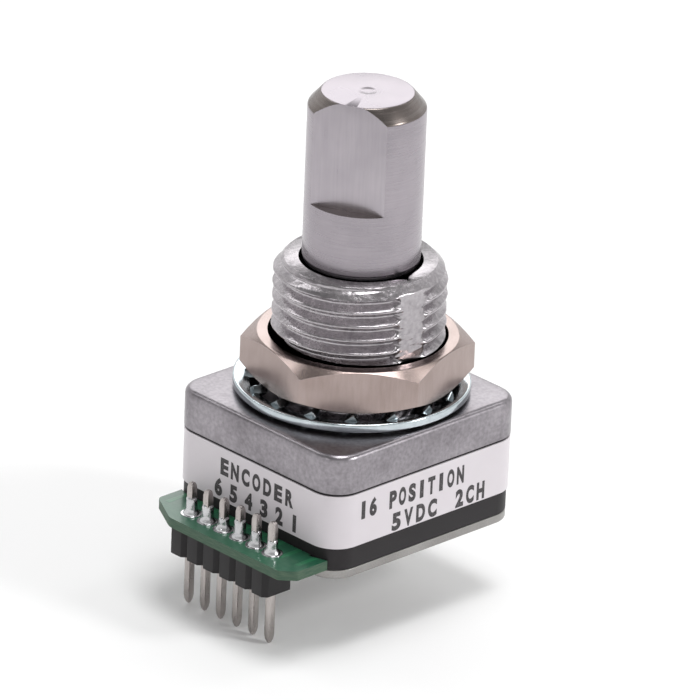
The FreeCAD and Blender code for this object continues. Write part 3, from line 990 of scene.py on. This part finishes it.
def makeCamera(size):
    turn = math.radians(size["azimuth"])
    rise = math.radians(size["elevation"])
    back = Vector((math.sin(turn) * math.cos(rise), -math.cos(turn) * math.cos(rise), math.sin(rise)))
    right = Vector((math.cos(turn), math.sin(turn), 0))
    top = back.cross(right)
    aim = Vector((0, 0, size["aimHeight"])) + right * size["aimRight"] + top * size["aimUp"]
    rolled = Matrix.Rotation(math.radians(size["roll"]), 3, "Z")
    pose = (Matrix((right, top, back)).transposed() @ rolled).to_4x4()
    pose.translation = (aim + back * size["distance"]) * mm
    lens = bpy.data.cameras.new("studioCamera")
    lens.lens = size["lens"]
    lens.sensor_width = size["sensor"]
    lens.clip_start = 0.01
    lens.clip_end = 50
    camera = bpy.data.objects.new("studioCamera", lens)
    camera.matrix_world = pose
    bpy.context.scene.collection.objects.link(camera)
    bpy.context.scene.camera = camera


def makeLamp(name, place, size, power, tint=(1, 1, 1)):
    lamp = bpy.data.lights.new(name, "AREA")
    lamp.shape = "RECTANGLE"
    lamp.size = size[0]
    lamp.size_y = size[1]
    lamp.energy = power
    lamp.color = tint
    piece = bpy.data.objects.new(name, lamp)
    piece.location = place
    piece.rotation_euler = (-Vector(place)).to_track_quat("-Z", "Y").to_euler()
    bpy.context.scene.collection.objects.link(piece)


def makeStudio(size):
    bm = bmesh.new()
    bmesh.ops.create_grid(bm, x_segments=1, y_segments=1, size=size["floorSize"] / 2)
    bmesh.ops.translate(bm, vec=(0, 0, cadBox[0][2] - size["floorDrop"] * mm), verts=bm.verts)
    floor = looseObject("studioFloor", bm)
    paper = Finish("studioPaper", {"Base Color": colour(0.92, 0.92, 0.92), "Roughness": 0.9,
                                   "Specular IOR Level": 0.0})
    floor.data.materials.append(paper.material)
    makeLamp("overheadSoftbox", (0.04, 0.05, 0.5), (0.24, 0.2), 1.2)
    makeLamp("backSoftbox", (-0.32, 0.31, 0.25), (0.4, 0.16), 0.4)
    makeLamp("frontSoftbox", (0.02, -0.5, 0.42), (0.06, 0.06), 0.1)
    makeLamp("rightSoftbox", (0.42, 0.22, 0.3), (0.1, 0.1), 0.9)
    makeLamp("leftEdgeStrip", (-0.33, -0.05, 0.375), (0.06, 0.2), 0.14)
    makeLamp("rightEdgeStrip", (0.05, 0.32, 0.38), (0.06, 0.2), 0.14)
    makeSky()


def makeSky():
    # a white room, brighter along its walls than at its ceiling
    world = bpy.data.worlds.new("studioSky")
    world.use_nodes = True
    nodes = world.node_tree.nodes
    links = world.node_tree.links
    place = nodes.new("ShaderNodeTexCoord")
    parts = nodes.new("ShaderNodeSeparateXYZ")
    shade = nodes.new("ShaderNodeValToRGB")
    links.new(place.outputs["Generated"], parts.inputs[0])
    links.new(parts.outputs["Z"], shade.inputs[0])
    links.new(shade.outputs["Color"], nodes["Background"].inputs["Color"])
    wall, ceiling = shade.color_ramp.elements
    wall.position = 0.3
    wall.color = colour(0.95, 0.95, 0.95)
    ceiling.position = 0.75
    ceiling.color = colour(0.22, 0.22, 0.22)
    nodes["Background"].inputs["Strength"].default_value = 1.05
    bpy.context.scene.world = world
    bpy.context.scene.view_settings.view_transform = "Standard"


makeCamera(studio)
makeStudio(studio)
print("studio made")
